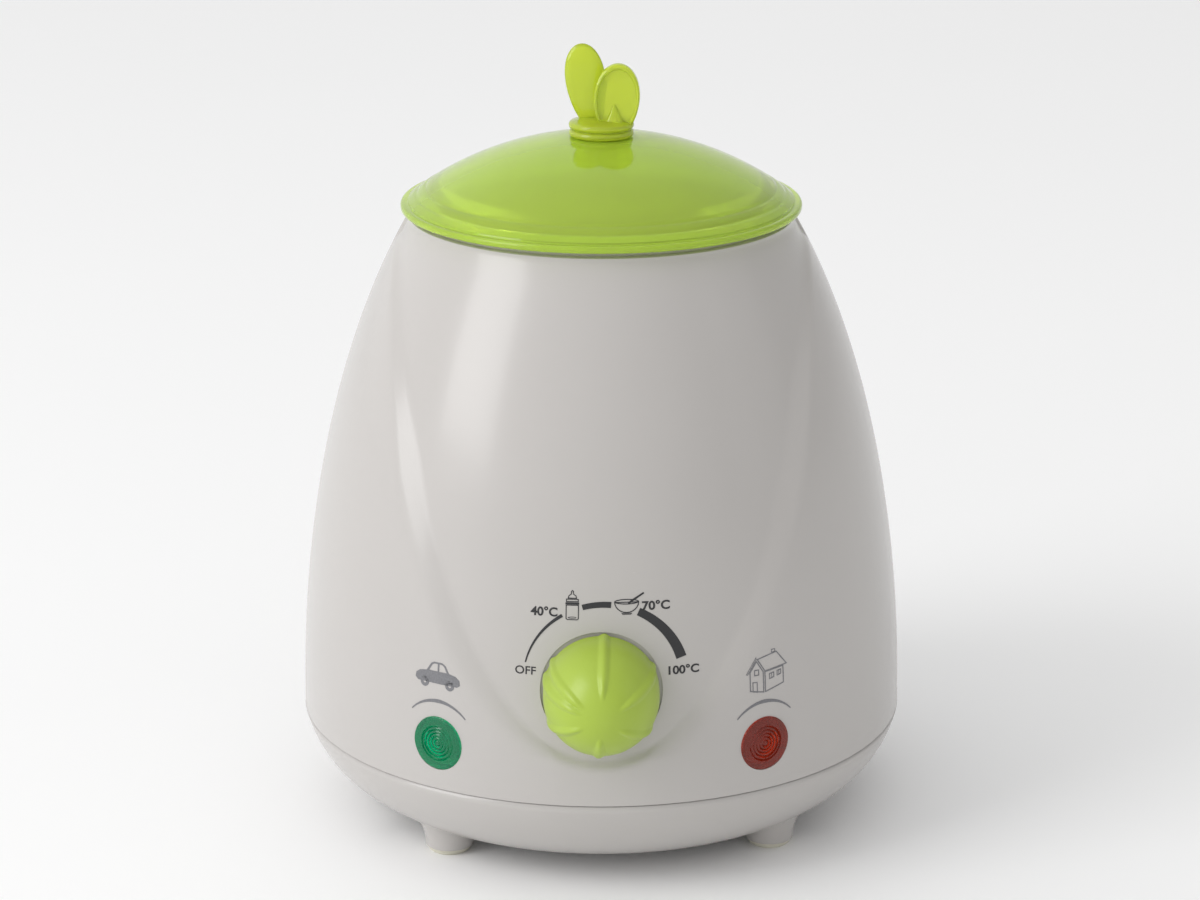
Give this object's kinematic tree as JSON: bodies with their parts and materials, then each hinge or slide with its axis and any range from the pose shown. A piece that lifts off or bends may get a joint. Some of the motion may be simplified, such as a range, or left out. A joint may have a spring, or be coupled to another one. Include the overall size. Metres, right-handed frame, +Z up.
{
  "type": "bottle warmer",
  "caption": "Egg-shaped baby bottle warmer on short legs, with a lift-off domed lid, a front thermostat dial and indicator lamps.",
  "frame": {"origin": "on the table, at the middle of the four foot pads, on the axis of the body", "axes": "+Z up along the body's axis, -Y towards the front with the dial, +X to the right as seen from the front"},
  "size_m": [0.142, 0.1566, 0.1809],
  "materials": {
    "white_gloss": "glossy white",
    "white_inner": "glossy white",
    "lid_tint": "clear tinted yellow-green",
    "grip_tint": "clear tinted deep yellow-green",
    "knob_green": "satin lime green",
    "lens_green": "clear tinted green",
    "lens_red": "clear tinted red",
    "black_plastic": "moulded black",
    "grey_plastic": "moulded pale grey",
    "lamp_glass": "clear",
    "rubber_pad": "soft matt",
    "silicone": "silicone",
    "aluminium": "die cast",
    "steel": "zinc plated",
    "brass": "plain",
    "ceramic_block": "heater casing",
    "wire_skin": "insulated"
  },
  "bodies": {
    "housing": {"body_shell": "white_gloss", "base_cover": "white_gloss", "foot_pads": "rubber_pad", "case_screws": "steel", "water_chamber": "white_inner", "chamber_gasket": "silicone", "heating_plate": "aluminium", "heater_clamp": "steel", "clamp_screws": "steel", "heater_mains": "ceramic_block", "heater_low_voltage": "ceramic_block", "thermal_fuse": "aluminium", "fuse_clip": "grey_plastic", "thermostat_block": "black_plastic", "thermostat_tabs": "brass", "thermostat_bracket": "steel", "bracket_screws": "steel", "lens_green": "lens_green", "lens_red": "lens_red", "lamp_holder_left": "grey_plastic", "lamp_holder_right": "grey_plastic", "lamp_low_voltage": "lamp_glass", "lamp_mains": "lamp_glass", "mains_inlet": "black_plastic", "mains_pins": "steel", "low_voltage_inlet": "black_plastic", "low_voltage_pin": "steel", "wires_mains": "wire_skin", "wires_low_voltage": "wire_skin", "wires_lamps": "wire_skin"},
    "lid": {"lid_dome": "lid_tint", "lid_grip": "grip_tint", "grip_ring": "steel"},
    "knob": {"control_knob": "knob_green", "knob_spring_ring": "steel", "thermostat_spindle": "steel"}
  },
  "joints": [
    {"name": "lid_lift", "type": "slide", "parent": "housing", "child": "lid", "axis": [0, 0, 1], "range_m": [0, 0.12]},
    {"name": "dial_turn", "type": "hinge", "parent": "housing", "child": "knob", "pos_m": [0, -0.066, 0.05], "axis": [0, 1, 0], "range_deg": [0, 134]}
  ]
}
